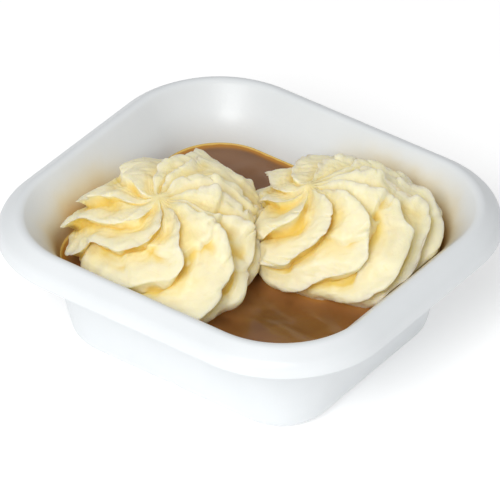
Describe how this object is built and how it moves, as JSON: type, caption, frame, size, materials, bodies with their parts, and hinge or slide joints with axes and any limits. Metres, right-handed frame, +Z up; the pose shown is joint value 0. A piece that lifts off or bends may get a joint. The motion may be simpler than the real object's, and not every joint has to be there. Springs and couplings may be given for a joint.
{
  "type": "mashed potato side dish",
  "caption": "Piped rosettes of mashed potato standing in brown gravy, in a white rectangular meal dish with a turned-down lip.",
  "frame": {"origin": "centre of the dish's footprint, on the surface it stands on", "axes": "+X along the dish's longer sides, +Y along its shorter sides, +Z up; the corners at -X -Y and +X +Y hold the rosettes, and the gravy shows in the other two corners"},
  "size_m": [0.135, 0.124, 0.0571],
  "materials": {
    "moulded_white": "smooth moulded white with a satin sheen",
    "gravy": "wet, glossy brown",
    "mashed_potato": "moist, buttery, soft sheen"
  },
  "bodies": {
    "root": {"dish": "moulded_white", "gravy": "gravy", "mash_front_left": "mashed_potato", "mash_back_right": "mashed_potato"}
  },
  "joints": []
}
